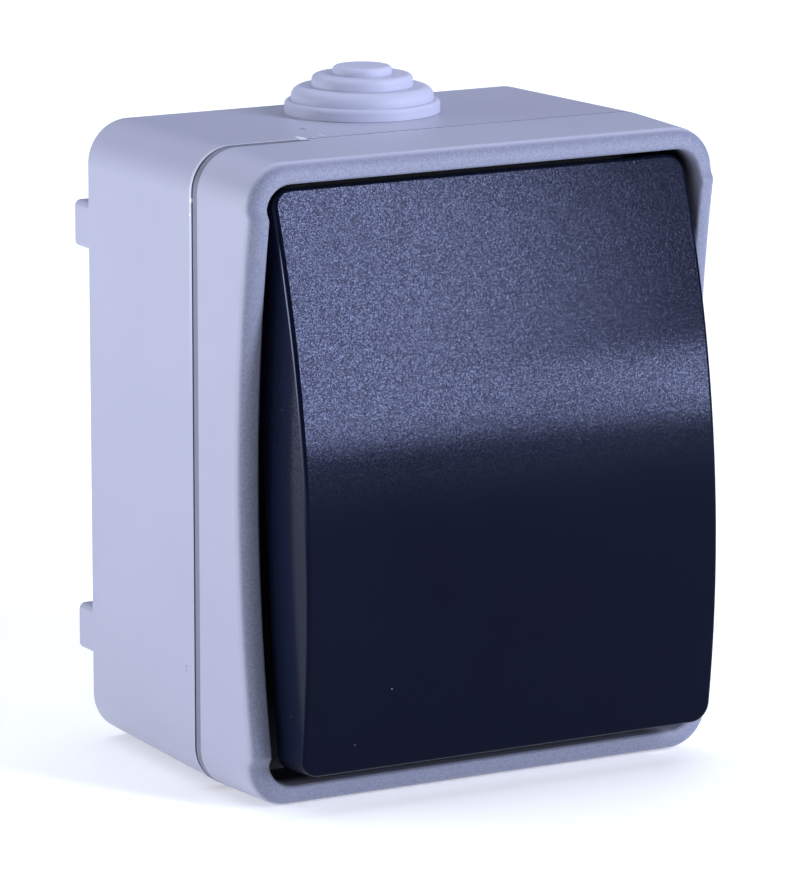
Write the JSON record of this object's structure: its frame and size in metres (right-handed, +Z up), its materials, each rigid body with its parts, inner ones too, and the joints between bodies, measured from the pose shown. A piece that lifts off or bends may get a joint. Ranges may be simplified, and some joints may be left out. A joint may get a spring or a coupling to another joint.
{
  "type": "pushbutton switch",
  "caption": "Surface-mounted weatherproof pushbutton switch: grey two-part box, wide dark sprung button with a curved face, stepped cable gland on top.",
  "frame": {"origin": "on the wall plane, midway between the two holes for the wall screws", "axes": "+Z up, +Y into the wall, so the button faces -Y, +X to the right as seen from the front"},
  "size_m": [0.066, 0.0537, 0.0851],
  "materials": {
    "grey_shell": "satin moulded plastic, fine grain on the front rim",
    "gland_rubber": "matt rubber",
    "seal_rubber": "matt rubber",
    "anthracite_button": "fine-grained anthracite with a soft sheen",
    "actuator_plastic": "plain moulded",
    "insulating_plastic": "plain moulded",
    "spring_steel": "drawn wire",
    "zinc_screw": "zinc plated",
    "contact_brass": "stamped strip",
    "contact_silver": "bright rivet"
  },
  "bodies": {
    "housing": {"rear_housing": "grey_shell", "front_cover": "grey_shell", "cable_gland": "gland_rubber", "housing_seal": "seal_rubber", "cover_screws": "zinc_screw", "mechanism_base": "insulating_plastic", "mechanism_screws": "zinc_screw", "bearing_frame": "insulating_plastic", "mechanism_seal": "seal_rubber", "fixed_contact": "contact_brass", "fixed_contact_tip": "contact_silver", "common_contact": "contact_brass", "line_clamp": "contact_brass", "load_clamp": "contact_brass", "terminal_screws": "zinc_screw", "return_spring": "spring_steel"},
    "rocker": {"rocker_button": "anthracite_button", "rocker_actuator": "actuator_plastic", "plunger_spring": "spring_steel"},
    "plunger_pin": {"plunger": "actuator_plastic"},
    "lever": {"contact_lever": "contact_brass", "moving_contact_tip": "contact_silver"}
  },
  "joints": [
    {"name": "rocker_press", "type": "hinge", "parent": "housing", "child": "rocker", "pos_m": [0, -0.0394, 0], "axis": [1, 0, 0], "range_deg": [0, 8], "stiffness_Nm_per_rad": 0.21, "springref_deg": -8.02, "deforming": ["return_spring"]},
    {"name": "plunger_slide", "type": "slide", "parent": "rocker", "child": "plunger_pin", "axis": [0, -0.9958, 0.0915], "range_m": [0, 0.0008], "stiffness_N_per_m": 400, "springref_m": -0.002, "deforming": ["plunger_spring"]},
    {"name": "contact_tilt", "type": "hinge", "parent": "housing", "child": "lever", "pos_m": [0, -0.0247, 0], "axis": [1, 0, 0], "range_deg": [-10, 0]}
  ],
  "couplings": [
    {"joint": "contact_tilt", "follows": "rocker_press", "ratio": -1.25}
  ]
}
